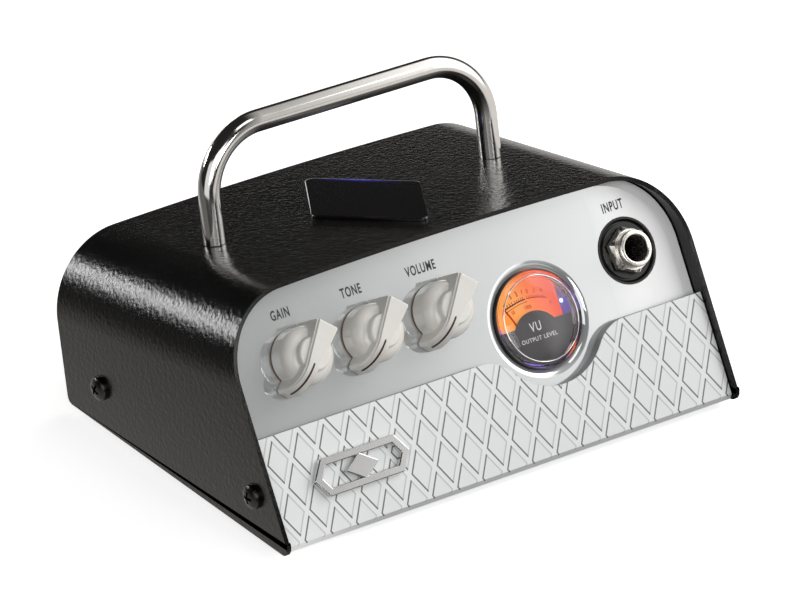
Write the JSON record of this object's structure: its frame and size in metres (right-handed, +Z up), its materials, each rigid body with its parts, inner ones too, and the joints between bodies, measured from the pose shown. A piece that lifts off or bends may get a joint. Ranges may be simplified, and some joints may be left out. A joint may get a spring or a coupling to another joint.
{
  "type": "guitar amp head",
  "caption": "Small bench-top guitar amplifier head with a bent black steel cover, chrome carry handle, sloping front with pointer knobs, level meter, input socket and lozenge glow window.",
  "frame": {"origin": "middle of the object's box at the level of the feet", "axes": "+X to the player's right, front towards -Y, +Z up"},
  "size_m": [0.135, 0.1002, 0.0761],
  "materials": {
    "cover_black": "glossy wrinkle powder coat",
    "tray_black": "satin powder coat",
    "panel_grey": "glossy",
    "panel_white": "pearl with a printed lattice",
    "chrome_trim": "polished",
    "nickel": "bright nickel plate",
    "zinc_steel": "zinc plate",
    "black_screws": "black oxide",
    "window_black": "smoked, glossy",
    "tube_glass": "clear",
    "led_blue": "clear tinted",
    "knob_cream": "glossy",
    "shaft_alloy": "satin",
    "pot_case": "satin",
    "lens_clear": "clear",
    "dial_orange": "printed, backlit",
    "mask_grey": "satin",
    "needle_red": "satin",
    "meter_black": "satin",
    "jack_black": "satin",
    "rocker_black": "satin",
    "board_green": "solder mask",
    "capacitor_sleeve": "shrink sleeve",
    "sink_alloy": "anodised",
    "coil_copper": "enamelled",
    "foot_rubber": "matt"
  },
  "bodies": {
    "amp_body": {"top_cover": "cover_black", "carry_handle": "chrome_trim", "handle_washers": "zinc_steel", "handle_nuts": "zinc_steel", "tube_window": "window_black", "tube_board": "board_green", "tube_module": "tube_glass", "tube_spacers": "nickel", "glow_led": "led_blue", "upper_front_panel": "panel_grey", "lower_front_panel": "panel_white", "front_bracket": "zinc_steel", "front_emblem": "chrome_trim", "pot_nuts": "nickel", "meter_bezel": "chrome_trim", "meter_lens": "lens_clear", "meter_movement": "meter_black", "meter_dial": "dial_orange", "meter_mask": "mask_grey", "meter_housing": "meter_black", "meter_lamp": "board_green", "input_well": "jack_black", "input_washer": "jack_black", "input_nut": "nickel", "input_barrel": "nickel", "input_jack_body": "jack_black", "input_contacts": "nickel", "rear_panel": "tray_black", "speaker_jack": "jack_black", "phones_jack": "jack_black", "rear_nuts": "nickel", "dc_inlet": "jack_black", "dc_pin": "nickel", "power_switch": "rocker_black", "slide_switches": "zinc_steel", "base_tray": "tray_black", "rubber_feet": "foot_rubber", "side_screws": "black_screws", "chassis_screws": "black_screws", "main_board": "board_green", "standoffs": "nickel", "front_board": "board_green", "heat_sink": "sink_alloy", "filter_capacitors": "capacitor_sleeve", "output_inductors": "coil_copper", "gain_pot": "pot_case", "tone_pot": "pot_case", "volume_pot": "pot_case"},
    "gain_control": {"gain_knob": "knob_cream", "gain_shaft": "shaft_alloy"},
    "tone_control": {"tone_knob": "knob_cream", "tone_shaft": "shaft_alloy"},
    "volume_control": {"volume_knob": "knob_cream", "volume_shaft": "shaft_alloy"},
    "needle": {"meter_needle": "needle_red"},
    "rocker": {"power_rocker": "rocker_black"},
    "eco_lever": {"eco_slider": "jack_black"},
    "impedance_lever": {"impedance_slider": "jack_black"},
    "eq_lever": {"eq_slider": "jack_black"}
  },
  "joints": [
    {"name": "gain_turn", "type": "hinge", "parent": "amp_body", "child": "gain_control", "pos_m": [-0.0458, -0.02819, 0.03872], "axis": [0, 0.8616, -0.5075], "range_deg": [0, 285]},
    {"name": "tone_turn", "type": "hinge", "parent": "amp_body", "child": "tone_control", "pos_m": [-0.0259, -0.02819, 0.03872], "axis": [0, 0.8616, -0.5075], "range_deg": [0, 285]},
    {"name": "volume_turn", "type": "hinge", "parent": "amp_body", "child": "volume_control", "pos_m": [-0.006, -0.02819, 0.03872], "axis": [0, 0.8616, -0.5075], "range_deg": [0, 285]},
    {"name": "needle_swing", "type": "hinge", "parent": "amp_body", "child": "needle", "pos_m": [0.02005, -0.03296, 0.0182], "axis": [0, 0.8616, -0.5075], "range_deg": [0, 44.6], "stiffness_Nm_per_rad": 0.00002},
    {"name": "rocker_tip", "type": "hinge", "parent": "amp_body", "child": "rocker", "pos_m": [-0.032, 0.04117, 0.02167], "axis": [1, 0, 0], "range_deg": [0, 18]},
    {"name": "eco_slide", "type": "slide", "parent": "amp_body", "child": "eco_lever", "axis": [-1, 0, 0], "range_m": [0, 0.0025]},
    {"name": "impedance_slide", "type": "slide", "parent": "amp_body", "child": "impedance_lever", "axis": [-1, 0, 0], "range_m": [0, 0.003]},
    {"name": "eq_slide", "type": "slide", "parent": "amp_body", "child": "eq_lever", "axis": [-1, 0, 0], "range_m": [0, 0.0025]}
  ]
}
